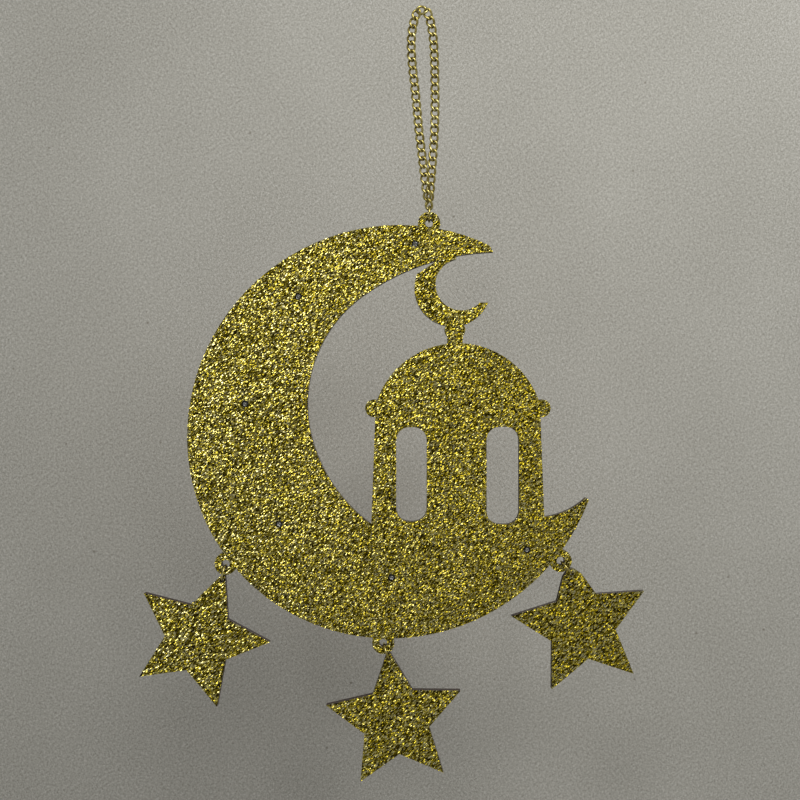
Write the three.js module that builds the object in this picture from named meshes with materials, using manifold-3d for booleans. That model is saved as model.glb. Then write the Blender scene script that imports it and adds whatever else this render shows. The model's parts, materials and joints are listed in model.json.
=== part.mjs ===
// Wooden hanging light: a laser-cut crescent with a domed lantern building, faced with glitter
// sheet, lit by small LEDs, hung on a curb chain, with a star on a ring at each of its lower lugs.
// Millimetres, +Z up, the glitter face towards -Y. The origin is the underside of the chain's
// top link, where a hook or nail carries the light. Y = 0 is the middle of board and sheet.
import * as THREE from 'three';
import { mergeVertices } from 'three/addons/utils/BufferGeometryUtils.js';
import Module from 'manifold-3d';

const wasm = await Module();
wasm.setup();

// General clearance between neighbouring pieces, and how finely curves are drawn
const CLEARANCE = 0.3;
const CHORD_ERROR = 0.06;
const CUT_PAST = 1;

// Board and glitter sheet
const BOARD_THICKNESS = 3.0;
const SHEET_THICKNESS = 0.6;

// Crescent: an ellipse cut by a void whose edge is three arcs that run into each other smoothly,
// with horns cut off where a direction from its centre meets a distance out of its rim
const MOON_LONG_DIAMETER = 209.8;
const MOON_SHORT_DIAMETER = 204.6;
const MOON_TILT_DEG = 40.5;
const MOON_CENTRE_X = -13.65;
const MOON_CENTRE_Z = -207.35;
const VOID_MIDDLE_RADIUS = 66.9;
const VOID_LOWER_RADIUS = 78.9;
const VOID_UPPER_RADIUS = 117.5;
const VOID_X = 23.3;
const VOID_Z = 13.7;
const VOID_UPPER_START_DEG = 60;
const VOID_UPPER_JOIN_DEG = 125.5;
const VOID_LOWER_JOIN_DEG = 198.4;
const VOID_LOWER_END_DEG = 262;
const HORN_ARC_RADIUS = 36;
const HORN_ARC_X = 71.2;
const HORN_ARC_Z = -6.8;
const HORN_ARC_START_DEG = 260;
const HORN_ARC_END_DEG = 340;
const HORN_ENDS = [
  { deg: 62.4, out: -0.8, facingDeg: 30 },
  { deg: 340.9, out: -1.37, facingDeg: 50 },
];
const HORN_OFFCUT = 40;

// The box at the back makes the panel lean about its top ring until its weight is below the hook
const PANEL_LEAN_DEG = 2.5;

// Lantern building that stands in the crescent, its upper pieces measured from its centre line
const LANTERN_X = 31.6;
const DOME_RADIUS = 42.9;
const DOME_Z = 1.4;
const CORNICE_WIDTH = 92.8;
const CORNICE_HEIGHT = 8.9;
const CORNICE_Z = 11.7;
const WALL_TOP_WIDTH = 82.3;
const WALL_BASE_WIDTH = 88.0;
const WALL_BASE_Z = -64;
const NECK_WIDTH = 7.6;
const NECK_LENGTH = 8.35;
const NECK_OFFSET = -1.4;
const NECK_BALL_WIDTH = 10.4;
const NECK_BALL_HEIGHT = 9.2;
const NECK_BALL_UP = 6.6;

// Windows, which the maker cut a little unlike
const LEFT_WINDOW = { offset: -23.2, below: 28.6, width: 15.3, height: 47.2 };
const RIGHT_WINDOW = { offset: 22.5, below: 29.2, width: 16.3, height: 48.8 };
const WINDOW_CORNER = 6.6;
const CORNICE_ROUNDING = 0.49;

// Small crescent on the neck: its void, mouth and shoulder are measured from its own centre
const FINIAL_RADIUS = 19.2;
const FINIAL_OFFSET = -2.55;
const FINIAL_VOID_RADIUS = 13.0;
const FINIAL_VOID = [4.35, 1.8];
const FINIAL_MOUTH = [1.55, -7.25];
const FINIAL_SHOULDER = [[-16.65, 7.65], [-6.85, 14.55]];

// Lugs round the crescent's rim: the direction from its centre, and how far out of the rim
const LUG_RADIUS = 5.6;
const LUG_HOLE_RADIUS = 2.05;
const TOP_LUG = { deg: 80.6, out: 2.0 };
const STAR_LUGS = {
  left: { deg: 218.0, out: 2.4 },
  middle: { deg: 266.9, out: 2.25 },
  right: { deg: 322.1, out: 2.8 },
};

// Stars: how far the ring and the star hang from straight down, and where the hole is drilled
const STAR_RADIUS = 35.5;
const STAR_INNER_RADIUS = 17.1;
const STAR_POINTS = 5;
const STAR_HOLE_RADIUS = 1.0;
const STAR_HOLE_WALL = 1.68;
const STAR_HANG = {
  left: { ringDeg: -14.1, starDeg: -21.3, holeFromTip: 4.45 },
  middle: { ringDeg: 19.6, starDeg: 6.2, holeFromTip: 4.8 },
  right: { ringDeg: 41.6, starDeg: 10.8, holeFromTip: 9.3 },
};

// Jump rings
const RING_WIRE = 0.8;
const RING_SEAT = 0.2;
const RING_STEPS = 20;
const RING_SIDES = 6;

// LEDs, placed as the lugs are but inside the rim, and the lead that links them
const LEDS = [
  { deg: 83.8, out: -9.0 },
  { deg: 125.5, out: -19.3 },
  { deg: 169.5, out: -27.2 },
  { deg: 218.6, out: -30.9 },
  { deg: 268.8, out: -30.5 },
  { deg: 318.3, out: -13.7 },
];
const LED_RADIUS = 1.5;
const LED_FLANGE_RADIUS = 2.15;
const LED_FLANGE_HEIGHT = 1.0;
const LED_PROUD = 0.7;
const LED_LEG_WIDTH = 0.45;
const LED_LEG_PITCH = 2.54;
const LED_LEG_LENGTH = 1.9;
const LED_SIDES = 12;
const LED_DOME_STEPS = 3;
const LEAD_CORE_RADIUS = 0.45;
const LEAD_CORE_OFFSET = 0.42;
const LEAD_SLACK = 0.08;
const LEAD_STEP = 4;

// Battery box for two cells end to end, taped to the back between the windows
const CELL_DIAMETER = 14.5;
const CELL_BODY_LENGTH = 49.2;
const CELL_NUB_RADIUS = 2.75;
const CELL_NUB_HEIGHT = 1.3;
const CELL_EDGE = 0.5;
const TAPE_THICKNESS = 1.6;
const TAPE_MARGIN = 3.0;
const CASE_WALL = 2.0;
const CASE_FLOOR = 1.5;
const CASE_TOP_Z = 38.0;
const COVER_THICKNESS = 2.0;
const TONGUE_THICKNESS = 0.9;
const TONGUE_WIDTH = 0.9;
const THUMB_GROOVES = 4;
const THUMB_GROOVE_PITCH = 2.4;
const THUMB_GROOVE_WIDTH = 1.2;
const THUMB_GROOVE_DEPTH = 0.6;
const THUMB_GROOVE_LENGTH = 9;
const CONTACT_THICKNESS = 0.4;
const CONTACT_HEIGHT = 11.0;
const SPRING_LENGTH = 6.0;
const SPRING_WIRE = 0.7;
const SPRING_BASE_RADIUS = 5.2;
const SPRING_TIP_RADIUS = 3.4;
const SPRING_TURNS = 4;
const SPRING_TURN_STEPS = 9;

// Slide switch under the cells
const SWITCH_WIDTH = 8.6;
const SWITCH_LENGTH = 4.6;
const SWITCH_HEIGHT = 3.6;
const SWITCH_WALL = 1.6;
const SWITCH_TRAVEL = 2.5;
const KNOB_SIZE = 2.2;
const KNOB_RECESS = 0.8;
const KNOB_DISH = 1.0;
const WIRE_WAY_HALF_WIDTH = 1.0;
const SLIDER_BASE = 1.0;
const SLIDER_LIP = 0.8;

// Curb chain: one loop of twisted links over the hook, with both ends on the top ring. The links of
// a node are merged where they cross, and those of two nodes keep a gap. A route's points are X, the
// share of the strand's final step aside in Y, and Z.
const LINK_STEPS = 10;
const LINK_SIDES = 6;
const LINK_WIRE = 0.9;
const LINK_WIDTH = 4.5;
const LINK_TWIST_DEG = -90;
const LINK_SWELL = 0.37;
const LINK_GAP = 0.25;
const LINK_MERGE = 0.08;
const LENGTH_TRIALS = 20;
const LINKS_PER_NODE = 2;
const NODES_PER_STRAND = 11;
const TOP_LINK_SLOPES_DEG = [68, 76];
const END_LINK_TURNS_DEG = [-15, -30, -45];
const LEFT_ROUTE = [
  [-5.45, 0, -12],
  [-5.1, 0, -22],
  [-3.2, 0, -39.5],
  [-1.5, 0.2, -57],
  [0.7, 0.65, -75],
  [2.3, 1, -88],
];
const RIGHT_ROUTE = [
  [5.6, 0, -12],
  [6.2, 0, -24.5],
  [6.5, 0, -45],
  [6.1, 0.2, -60],
  [4.95, 0.65, -76],
  [4.1, 1, -88],
];

const materials = {
  board: makeMaterial(0x5b4330, 0.75, 0.0),
  glitter: makeMaterial(0x96872a, 0.35, 0.6),
  brass: makeMaterial(0xa08a4a, 0.35, 0.9),
  lens: makeMaterial(0xd8d8d0, 0.1, 0.0),
  lead: makeMaterial(0x2a2a2a, 0.5, 0.0),
  tape: makeMaterial(0xe4e2da, 0.9, 0.0),
  plastic: makeMaterial(0x1c1c1e, 0.45, 0.0),
  knob: makeMaterial(0x8a8a8a, 0.5, 0.0),
  steel: makeMaterial(0xb8b8b4, 0.3, 0.9),
  cell: makeMaterial(0x4a5a50, 0.35, 0.3),
};

const light = new THREE.Group();

const frontY = -(BOARD_THICKNESS + SHEET_THICKNESS) / 2;
const glueY = frontY + SHEET_THICKNESS;
const backY = glueY + BOARD_THICKNESS;

// The battery box stands midway between the windows
const leftWindowEdge = LEFT_WINDOW.offset + LEFT_WINDOW.width / 2;
const rightWindowEdge = RIGHT_WINDOW.offset - RIGHT_WINDOW.width / 2;
const boxX = LANTERN_X + (leftWindowEdge + rightWindowEdge) / 2;

const topLug = onRim(TOP_LUG);
const ledPlaces = LEDS.map(onRim);

// A ring reaches from the lug's hole over its rim to the star's hole, round the board's thickness
const ringReach = (LUG_RADIUS - LUG_HOLE_RADIUS + CLEARANCE + STAR_HOLE_WALL) / 2;
const ringRadius = Math.hypot(ringReach, backY) + RING_SEAT + RING_WIRE / 2;
const ringCentreFromLug = LUG_HOLE_RADIUS + ringReach;
const starHoleFromLug = ringCentreFromLug + ringReach + STAR_HOLE_RADIUS;

// The twist swells a link's centre line out of its plane by a share of its half width
const linkHalfThickness = LINK_SWELL * ((LINK_WIDTH - LINK_WIRE) / 2) + LINK_WIRE / 2;
const strandAside = linkHalfThickness + LINK_GAP;
const leadHalfWidth = LEAD_CORE_OFFSET + LEAD_CORE_RADIUS;

// All that the top ring carries leans about the ring's centre
const ringCentreZ = MOON_CENTRE_Z + topLug[1] + ringCentreFromLug;
const leaning = new THREE.Group();
leaning.position.z = ringCentreZ;
leaning.rotation.x = -radians(PANEL_LEAN_DEG);
light.add(leaning);
const hung = new THREE.Group();
hung.position.z = -ringCentreZ;
leaning.add(hung);

addPanel();
addStars();
addBatteryBox();
addChain();

export default light;

function makeMaterial(color, roughness, metalness) {
  return new THREE.MeshStandardMaterial({ color, roughness, metalness, flatShading: true });
}

// Turns a closed geometry into a solid that can be cut and joined
function toSolid(geometry) {
  const plain = geometry.clone();
  plain.deleteAttribute('normal');
  plain.deleteAttribute('uv');
  const merged = mergeVertices(plain, 1e-4);
  const vertProperties = new Float32Array(merged.attributes.position.array);
  const triVerts = new Uint32Array(merged.index.array);
  return new wasm.Manifold(new wasm.Mesh({ numProp: 3, vertProperties, triVerts }));
}

function toGeometry(solid) {
  const mesh = solid.getMesh();
  const geometry = new THREE.BufferGeometry();
  geometry.setAttribute('position', new THREE.BufferAttribute(mesh.vertProperties, 3));
  geometry.setIndex(new THREE.BufferAttribute(mesh.triVerts, 1));
  return geometry;
}

function addPiece(parent, name, solid, material) {
  const mesh = new THREE.Mesh(toGeometry(solid), material);
  mesh.name = name;
  parent.add(mesh);
  return mesh;
}

function joined(solids) {
  return solids.reduce((whole, solid) => whole.add(solid));
}

// The extruder's setting that keeps an arc's chords within the error; it draws two for each count
function stepsFor(radius, turnDeg = 360) {
  const chords = ((turnDeg / 360) * Math.PI) / Math.acos(1 - CHORD_ERROR / radius);
  return Math.ceil(chords / 2);
}

// A shape drawn in X and Z, made solid from yNear to yFar
function slab(shape, yNear, yFar, curveSegments = 1) {
  const options = { depth: yFar - yNear, bevelEnabled: false, curveSegments };
  const geometry = new THREE.ExtrudeGeometry(shape, options);
  geometry.applyMatrix4(new THREE.Matrix4().set(1, 0, 0, 0, 0, 0, -1, yFar, 0, 1, 0, 0, 0, 0, 0, 1));
  return toSolid(geometry);
}

// The same for cutting: it runs past both faces
function cutter(shape, yNear, yFar, curveSegments) {
  return slab(shape, yNear - CUT_PAST, yFar + CUT_PAST, curveSegments);
}

function block(x0, x1, y0, y1, z0, z1) {
  const geometry = new THREE.BoxGeometry(x1 - x0, y1 - y0, z1 - z0);
  geometry.translate((x0 + x1) / 2, (y0 + y1) / 2, (z0 + z1) / 2);
  return toSolid(geometry);
}

function discShape(x, z, radius) {
  return new THREE.Shape().absarc(x, z, radius, 0, 2 * Math.PI);
}

function polygonShape(points) {
  return new THREE.Shape(points.map(([x, z]) => new THREE.Vector2(x, z)));
}

function roundedShape(x, z, width, height, corner) {
  const right = x + width / 2 - corner;
  const left = x - width / 2 + corner;
  const top = z + height / 2 - corner;
  const bottom = z - height / 2 + corner;
  const quarter = Math.PI / 2;
  return new THREE.Shape()
    .absarc(right, top, corner, 0, quarter)
    .absarc(left, top, corner, quarter, 2 * quarter)
    .absarc(left, bottom, corner, 2 * quarter, 3 * quarter)
    .absarc(right, bottom, corner, 3 * quarter, 4 * quarter);
}

function radians(degrees) {
  return THREE.MathUtils.degToRad(degrees);
}

function along(deg) {
  return [Math.cos(radians(deg)), Math.sin(radians(deg))];
}

// A point in a direction from the crescent's centre, a distance out of its rim
function onRim({ deg, out }) {
  const [x, z] = along(deg);
  const [onLong, onShort] = along(deg - MOON_TILT_DEG);
  const long = MOON_LONG_DIAMETER / 2;
  const short = MOON_SHORT_DIAMETER / 2;
  const reach = (long * short) / Math.hypot(short * onLong, long * onShort) + out;
  return [reach * x, reach * z];
}

// The crescent: the ellipse less its void, and the arc that hollows the lower horn
function crescent(yNear, yFar) {
  const tilt = radians(MOON_TILT_DEG);
  const ellipse = new THREE.Shape()
    .absellipse(0, 0, MOON_LONG_DIAMETER / 2, MOON_SHORT_DIAMETER / 2, 0, 2 * Math.PI, false, tilt);
  const [lowerX, lowerZ] = along(VOID_LOWER_JOIN_DEG);
  const [upperX, upperZ] = along(VOID_UPPER_JOIN_DEG);
  const lowerStep = VOID_LOWER_RADIUS - VOID_MIDDLE_RADIUS;
  const upperStep = VOID_UPPER_RADIUS - VOID_MIDDLE_RADIUS;
  const lowerCentre = [VOID_X - lowerStep * lowerX, VOID_Z - lowerStep * lowerZ];
  const upperCentre = [VOID_X - upperStep * upperX, VOID_Z - upperStep * upperZ];
  const lowerJoin = radians(VOID_LOWER_JOIN_DEG);
  const upperJoin = radians(VOID_UPPER_JOIN_DEG);
  const [hornStart, hornEnd] = [radians(HORN_ARC_START_DEG), radians(HORN_ARC_END_DEG)];
  const opening = new THREE.Shape()
    .absarc(...upperCentre, VOID_UPPER_RADIUS, radians(VOID_UPPER_START_DEG), upperJoin)
    .absarc(VOID_X, VOID_Z, VOID_MIDDLE_RADIUS, upperJoin, lowerJoin)
    .absarc(...lowerCentre, VOID_LOWER_RADIUS, lowerJoin, radians(VOID_LOWER_END_DEG))
    .absarc(HORN_ARC_X, HORN_ARC_Z, HORN_ARC_RADIUS, hornStart, hornEnd)
    .lineTo(MOON_LONG_DIAMETER, HORN_ARC_Z)
    .lineTo(MOON_LONG_DIAMETER, MOON_LONG_DIAMETER);
  const ends = HORN_ENDS.map((end) => {
    const [x, z] = onRim(end);
    const [outX, outZ] = along(end.facingDeg);
    const at = (out, aside) => [
      x + HORN_OFFCUT * (out * outX - aside * outZ),
      z + HORN_OFFCUT * (out * outZ + aside * outX),
    ];
    return polygonShape([at(0, -1), at(1, -1), at(1, 1), at(0, 1)]);
  });
  const joinTurn = VOID_LOWER_JOIN_DEG - VOID_UPPER_JOIN_DEG;
  const cuts = [
    cutter(opening, yNear, yFar, stepsFor(VOID_UPPER_RADIUS, joinTurn)),
    ...ends.map((end) => cutter(end, yNear, yFar)),
  ];
  const whole = slab(ellipse, yNear, yFar, stepsFor(MOON_LONG_DIAMETER / 2));
  return cuts.reduce((solid, cut) => solid.subtract(cut), whole);
}

// The lantern building with its cornice, dome and neck, before its windows are cut
function lantern(yNear, yFar) {
  const corniceTop = CORNICE_Z + CORNICE_HEIGHT / 2;
  const halfChord = Math.asin((corniceTop - DOME_Z) / DOME_RADIUS);
  const dome = new THREE.Shape().absarc(LANTERN_X, DOME_Z, DOME_RADIUS, halfChord, Math.PI - halfChord);
  const corner = CORNICE_ROUNDING * CORNICE_HEIGHT;
  const cornice = roundedShape(LANTERN_X, CORNICE_Z, CORNICE_WIDTH, CORNICE_HEIGHT, corner);
  const walls = polygonShape([
    [LANTERN_X - WALL_TOP_WIDTH / 2, CORNICE_Z],
    [LANTERN_X - WALL_BASE_WIDTH / 2, WALL_BASE_Z],
    [LANTERN_X + WALL_BASE_WIDTH / 2, WALL_BASE_Z],
    [LANTERN_X + WALL_TOP_WIDTH / 2, CORNICE_Z],
  ]);
  const neckX = LANTERN_X + NECK_OFFSET;
  const domeTop = DOME_Z + DOME_RADIUS;
  const rooted = NECK_WIDTH / 4;
  const halfNeck = NECK_WIDTH / 2;
  const neckTop = domeTop + NECK_LENGTH + rooted;
  const neck = block(neckX - halfNeck, neckX + halfNeck, yNear, yFar, domeTop - rooted, neckTop);
  const ball = new THREE.Shape().absellipse(
    neckX, domeTop + NECK_BALL_UP, NECK_BALL_WIDTH / 2, NECK_BALL_HEIGHT / 2, 0, 2 * Math.PI);
  return joined([
    slab(dome, yNear, yFar, stepsFor(DOME_RADIUS, 180)),
    slab(cornice, yNear, yFar, stepsFor(corner, 90)),
    slab(walls, yNear, yFar),
    neck,
    slab(ball, yNear, yFar, stepsFor(NECK_BALL_WIDTH / 2)),
  ]);
}

// The small crescent, open to its upper right, narrowed where it meets the upper horn
function finial(yNear, yFar) {
  const x = LANTERN_X + FINIAL_OFFSET;
  const z = DOME_Z + DOME_RADIUS + NECK_LENGTH + FINIAL_RADIUS;
  const [voidX, voidZ] = [x + FINIAL_VOID[0], z + FINIAL_VOID[1]];
  const disc = slab(discShape(x, z, FINIAL_RADIUS), yNear, yFar, stepsFor(FINIAL_RADIUS));
  const hollow = cutter(
    discShape(voidX, voidZ, FINIAL_VOID_RADIUS), yNear, yFar, stepsFor(FINIAL_VOID_RADIUS));
  const reach = 2 * FINIAL_RADIUS;
  const [mouthX, mouthZ] = [x + FINIAL_MOUTH[0], z + FINIAL_MOUTH[1]];
  const mouth = cutter(
    roundedShape(mouthX + reach / 2, mouthZ + reach / 2, reach, reach, CLEARANCE), yNear, yFar);
  const [low, high] = FINIAL_SHOULDER.map(([outX, upZ]) => [x + outX, z + upZ]);
  const shoulder = polygonShape([low, high, [high[0], high[1] + reach], [low[0] - reach, low[1]]]);
  return disc.subtract(hollow).subtract(mouth).subtract(cutter(shoulder, yNear, yFar));
}

// The whole outline shared by board and sheet, with its windows and holes
function panelSolid(yNear, yFar) {
  const lugs = [TOP_LUG, ...Object.values(STAR_LUGS)].map(onRim);
  const body = joined([
    crescent(yNear, yFar),
    lantern(yNear, yFar),
    finial(yNear, yFar),
    ...lugs.map(([x, z]) => slab(discShape(x, z, LUG_RADIUS), yNear, yFar, stepsFor(LUG_RADIUS))),
  ]);
  const corniceBase = CORNICE_Z - CORNICE_HEIGHT / 2;
  const windows = [LEFT_WINDOW, RIGHT_WINDOW].map(({ offset, below, width, height }) =>
    roundedShape(LANTERN_X + offset, corniceBase - below, width, height, WINDOW_CORNER));
  const ledHole = LED_RADIUS + CLEARANCE;
  const round = (radius) => ([x, z]) => cutter(discShape(x, z, radius), yNear, yFar, stepsFor(radius));
  const cuts = [
    ...windows.map((shape) => cutter(shape, yNear, yFar, stepsFor(WINDOW_CORNER, 90))),
    ...lugs.map(round(LUG_HOLE_RADIUS)),
    ...ledPlaces.map(round(ledHole)),
  ];
  return cuts.reduce((solid, cut) => solid.subtract(cut), body);
}

function addPanel() {
  const panel = new THREE.Group();
  panel.position.set(MOON_CENTRE_X, 0, MOON_CENTRE_Z);
  hung.add(panel);
  addPiece(panel, 'moon_board', panelSolid(glueY, backY), materials.board);
  addPiece(panel, 'moon_glitter_sheet', panelSolid(frontY, glueY), materials.glitter);
  ledPlaces.forEach(([x, z], index) => {
    const led = addPiece(panel, `led_${index + 1}`, ledSolid(), materials.lens);
    led.position.set(x, 0, z);
    led.rotation.y = ledTurn(index);
  });
  leadRuns().forEach(({ name, points }) => {
    addPiece(panel, name, leadSolid(points), materials.lead);
  });
}

// One LED: a domed lens and flange turned about Y, with two legs out of its back
function ledSolid() {
  const shoulderY = frontY - LED_PROUD + LED_RADIUS;
  const profile = [new THREE.Vector2(0, shoulderY - LED_RADIUS)];
  for (let step = 1; step <= LED_DOME_STEPS; step += 1) {
    const angle = (step / LED_DOME_STEPS) * (Math.PI / 2);
    profile.push(new THREE.Vector2(LED_RADIUS * Math.sin(angle), shoulderY - LED_RADIUS * Math.cos(angle)));
  }
  const flangeBack = backY + LED_FLANGE_HEIGHT;
  profile.push(new THREE.Vector2(LED_RADIUS, backY));
  profile.push(new THREE.Vector2(LED_FLANGE_RADIUS, backY));
  profile.push(new THREE.Vector2(LED_FLANGE_RADIUS, flangeBack));
  profile.push(new THREE.Vector2(0, flangeBack));
  const lens = toSolid(new THREE.LatheGeometry(profile, LED_SIDES));
  const half = LED_LEG_WIDTH / 2;
  const legs = [-1, 1].map((side) => {
    const z = (side * LED_LEG_PITCH) / 2;
    return block(-half, half, flangeBack - half, flangeBack + LED_LEG_LENGTH, z - half, z + half);
  });
  return joined([lens, ...legs]);
}

// The runs of twin lead: the battery box to the fifth and sixth LEDs, and the fifth to the first
function leadLinks() {
  const { pocketBottomZ } = caseLayout();
  const exitAside = leadHalfWidth + 2 * CLEARANCE;
  const exits = [-1, 1].map((side) => [boxX + side * exitAside, pocketBottomZ]);
  const links = [
    { name: 'lead_box_to_led_5', from: exits[0], to: ledPlaces[4] },
    { name: 'lead_box_to_led_6', from: ledPlaces[5], to: exits[1] },
  ];
  for (let index = ledPlaces.length - 2; index > 0; index -= 1) {
    links.push({
      name: `lead_led_${index + 1}_to_led_${index}`,
      from: ledPlaces[index],
      to: ledPlaces[index - 1],
    });
  }
  return links;
}

// An LED's legs stand square to the leads that end on them
function ledTurn(index) {
  const place = ledPlaces[index];
  const ends = leadLinks().filter(({ from, to }) => from === place || to === place);
  const doubled = ends.map(({ from, to }) => 2 * Math.atan2(to[1] - from[1], to[0] - from[0]));
  const total = (part) => doubled.reduce((sum, angle) => sum + part(angle), 0);
  return -Math.atan2(total(Math.sin), total(Math.cos)) / 2;
}

// Each run lies along the board's back and rises over an LED's flange to end beside its legs
function leadRuns() {
  const lowY = backY + CLEARANCE + LEAD_CORE_RADIUS;
  const highY = lowY + LED_FLANGE_HEIGHT;
  const rampTop = LED_FLANGE_RADIUS + 4 * CLEARANCE;
  const rampFoot = rampTop + 3 * LED_FLANGE_HEIGHT;
  const ledEnd = [[LED_LEG_WIDTH + 3 * CLEARANCE, highY], [rampTop, highY], [rampFoot, lowY]];
  const boxEnd = [[0, lowY], [CASE_WALL + 2 * leadHalfWidth, lowY]];
  const down = new THREE.Vector3(0, 0, -1);
  const endPoints = (place, heading) => {
    const atLed = ledPlaces.includes(place);
    return (atLed ? ledEnd : boxEnd).map(([step, y]) =>
      new THREE.Vector3(place[0], y, place[1]).addScaledVector(atLed ? heading : down, step));
  };
  return leadLinks().map(({ name, from, to }) => {
    const start = new THREE.Vector3(from[0], lowY, from[1]);
    const end = new THREE.Vector3(to[0], lowY, to[1]);
    const heading = end.clone().sub(start).normalize();
    const aside = new THREE.Vector3(-heading.z, 0, heading.x);
    const bow = start.clone().add(end).multiplyScalar(0.5)
      .addScaledVector(aside, start.distanceTo(end) * LEAD_SLACK);
    const back = heading.clone().negate();
    return { name, points: [...endPoints(from, heading), bow, ...endPoints(to, back).reverse()] };
  });
}

// Two cores moulded side by side, lying flat on the board
function leadSolid(points) {
  const path = new THREE.CatmullRomCurve3(points, false, 'centripetal');
  const waist = Math.acos(LEAD_CORE_OFFSET / LEAD_CORE_RADIUS) - Math.PI / 2;
  const section = new THREE.Shape()
    .absarc(0, LEAD_CORE_OFFSET, LEAD_CORE_RADIUS, waist, Math.PI - waist)
    .absarc(0, -LEAD_CORE_OFFSET, LEAD_CORE_RADIUS, Math.PI + waist, 2 * Math.PI - waist);
  const steps = Math.ceil(path.getLength() / LEAD_STEP);
  return toSolid(new THREE.ExtrudeGeometry(section, { steps, extrudePath: path, curveSegments: 2 }));
}

// A star with its hanging hole at the local origin, its hanging tip blunted to clear the lug
function starSolid(yNear, yFar, holeFromTip) {
  const centreZ = holeFromTip - STAR_RADIUS;
  const corners = [];
  for (let step = 0; step < 2 * STAR_POINTS; step += 1) {
    const radius = step % 2 === 0 ? STAR_RADIUS : STAR_INNER_RADIUS;
    const [x, z] = along(90 + (step * 180) / STAR_POINTS);
    corners.push([radius * x, centreZ + radius * z]);
  }
  const tip = STAR_HOLE_RADIUS + STAR_HOLE_WALL;
  const hole = cutter(discShape(0, 0, STAR_HOLE_RADIUS), yNear, yFar, stepsFor(STAR_HOLE_RADIUS));
  const shoulder = tip * Math.SQRT1_2;
  const roof = 3 * tip;
  const shoulders = polygonShape([
    [-shoulder, shoulder],
    [-shoulder - roof, shoulder - roof],
    [shoulder + roof, shoulder - roof],
    [shoulder, shoulder],
  ]);
  const rest = polygonShape([
    [-STAR_RADIUS, -2 * tip],
    [-STAR_RADIUS, -2 * STAR_RADIUS],
    [STAR_RADIUS, -2 * STAR_RADIUS],
    [STAR_RADIUS, -2 * tip],
  ]);
  const keep = joined([
    cutter(discShape(0, 0, tip), yNear, yFar, stepsFor(tip)),
    cutter(shoulders, yNear, yFar),
    cutter(rest, yNear, yFar),
  ]);
  return slab(polygonShape(corners), yNear, yFar).intersect(keep).subtract(hole);
}

function ringSolid() {
  const torus = new THREE.TorusGeometry(ringRadius, RING_WIRE / 2, RING_SIDES, RING_STEPS);
  torus.rotateY(Math.PI / 2);
  return toSolid(torus);
}

// A ring stands square to the board, threaded through a lug's hole; the star hangs below it
function addStars() {
  Object.entries(STAR_LUGS).forEach(([side, lug]) => {
    const [x, z] = onRim(lug);
    const { ringDeg, starDeg, holeFromTip } = STAR_HANG[side];
    const hanging = new THREE.Group();
    hanging.position.set(MOON_CENTRE_X + x, 0, MOON_CENTRE_Z + z);
    hanging.rotation.y = -radians(ringDeg);
    hung.add(hanging);
    const ring = addPiece(hanging, `${side}_star_ring`, ringSolid(), materials.brass);
    ring.position.z = -ringCentreFromLug;
    const star = new THREE.Group();
    star.position.z = -starHoleFromLug;
    star.rotation.y = -radians(starDeg - ringDeg);
    hanging.add(star);
    const board = starSolid(glueY, backY, holeFromTip);
    const sheet = starSolid(frontY, glueY, holeFromTip);
    addPiece(star, `${side}_star_board`, board, materials.board);
    addPiece(star, `${side}_star_glitter_sheet`, sheet, materials.glitter);
  });
}

// The battery box's levels in Y and Z, from the cells, contacts and springs that it holds
function caseLayout() {
  const bayWidth = CELL_DIAMETER + 2 * CLEARANCE;
  const cellStep = CELL_BODY_LENGTH + CELL_NUB_HEIGHT + CLEARANCE;
  const bayLength = 2 * (CONTACT_THICKNESS + CLEARANCE + cellStep) + SPRING_LENGTH;
  const floorFront = backY + TAPE_THICKNESS;
  const floorBack = floorFront + CASE_FLOOR;
  const cellY = floorBack + CLEARANCE + CELL_DIAMETER / 2;
  const coverFront = cellY + CELL_DIAMETER / 2 + CLEARANCE;
  const coverBack = coverFront + COVER_THICKNESS;
  const bayTopZ = CASE_TOP_Z - CASE_WALL;
  const bayBottomZ = bayTopZ - bayLength;
  const pocketTopZ = bayBottomZ - CASE_WALL;
  const pocketBottomZ = pocketTopZ - SWITCH_LENGTH - 2 * CLEARANCE;
  const switchZ = (pocketTopZ + pocketBottomZ) / 2;
  const bottomZ = pocketBottomZ - CASE_WALL;
  const halfWidth = bayWidth / 2 + CASE_WALL;
  return {
    bayWidth, floorFront, floorBack, cellY, coverFront, coverBack, bayTopZ, bayBottomZ,
    pocketTopZ, pocketBottomZ, switchZ, bottomZ, halfWidth, cellStep,
  };
}

// A block that is centred on the battery box's own middle line
function centred(half, y0, y1, z0, z1) {
  return block(-half, half, y0, y1, z0, z1);
}

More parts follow.
